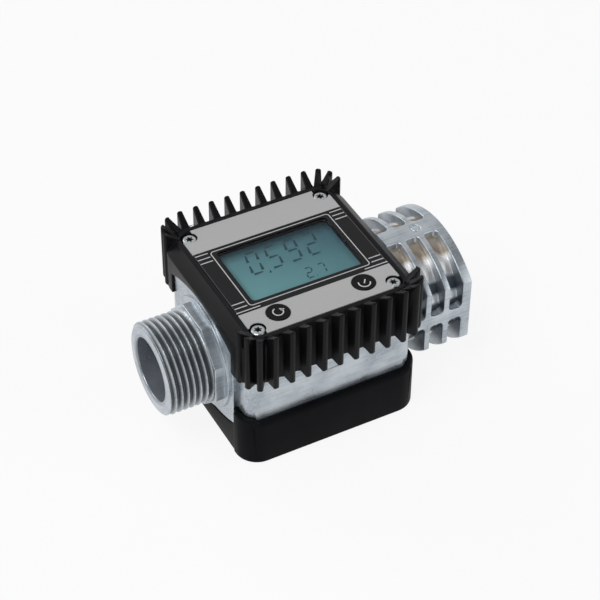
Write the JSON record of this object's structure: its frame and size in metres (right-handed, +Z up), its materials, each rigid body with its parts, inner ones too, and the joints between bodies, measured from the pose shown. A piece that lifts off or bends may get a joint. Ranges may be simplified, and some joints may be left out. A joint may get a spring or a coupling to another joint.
{
  "type": "turbine flow meter",
  "caption": "In-line turbine flow meter: a cast block with a male-threaded inlet, a ribbed threaded outlet and a finned cover with a display and push buttons.",
  "frame": {"origin": "on the underside of the base, below the middle of the display face", "axes": "+X from the inlet to the outlet, +Y from the buttons to the far side of the display, +Z up out of the display face"},
  "size_m": [0.1118, 0.073, 0.0593],
  "materials": {
    "base_black": "satin",
    "board_green": "solder resist",
    "bush_plastic": "natural",
    "casting": "die-cast, satin",
    "cell_jacket": "plain sleeve",
    "chip_black": "matte",
    "cover_black": "fine satin grain",
    "display_glass": "reflective liquid crystal",
    "frame_black": "matte",
    "gasket_rubber": "matte",
    "holder_black": "matte",
    "key_black": "satin",
    "label_film": "printed film, silver bands and a black middle",
    "lead_sleeve": "insulated",
    "magnet": "plated",
    "rotor_plastic": "satin",
    "screw_steel": "plated",
    "spring_steel": "bright",
    "strip_rubber": "matte",
    "vane_plastic": "natural",
    "window_clear": "clear"
  },
  "bodies": {
    "housing": {"meter_body": "casting", "finned_cover": "cover_black", "face_label": "label_film", "window_lens": "window_clear", "lcd_glass": "display_glass", "lcd_frame": "frame_black", "lcd_connectors": "strip_rubber", "circuit_board": "board_green", "display_chip": "chip_black", "button_switches": "chip_black", "board_screws": "screw_steel", "cover_screws": "screw_steel", "cover_gasket": "gasket_rubber", "base_cover": "base_black", "base_gasket": "gasket_rubber", "base_screws": "screw_steel", "battery_holder": "holder_black", "near_battery": "cell_jacket", "far_battery": "cell_jacket", "battery_contacts": "spring_steel", "battery_leads": "lead_sleeve", "pickup_sensor": "chip_black", "inlet_strainer": "spring_steel", "inlet_vanes": "vane_plastic", "outlet_vanes": "vane_plastic", "inlet_bush": "bush_plastic", "outlet_bush": "bush_plastic", "retaining_ring": "spring_steel"},
    "rotor": {"turbine_rotor": "rotor_plastic", "rotor_shaft": "spring_steel", "rotor_magnets": "magnet"},
    "reset_key": {"reset_button": "key_black"},
    "rate_key": {"rate_button": "key_black"}
  },
  "joints": [
    {"name": "rotor_spin", "type": "hinge", "parent": "housing", "child": "rotor", "pos_m": [0, 0, 0.0276], "axis": [1, 0, 0], "continuous": true},
    {"name": "reset_press", "type": "slide", "parent": "housing", "child": "reset_key", "axis": [0, 0, -1], "range_m": [0, 0.0006], "stiffness_N_per_m": 800},
    {"name": "rate_press", "type": "slide", "parent": "housing", "child": "rate_key", "axis": [0, 0, -1], "range_m": [0, 0.0006], "stiffness_N_per_m": 800}
  ]
}
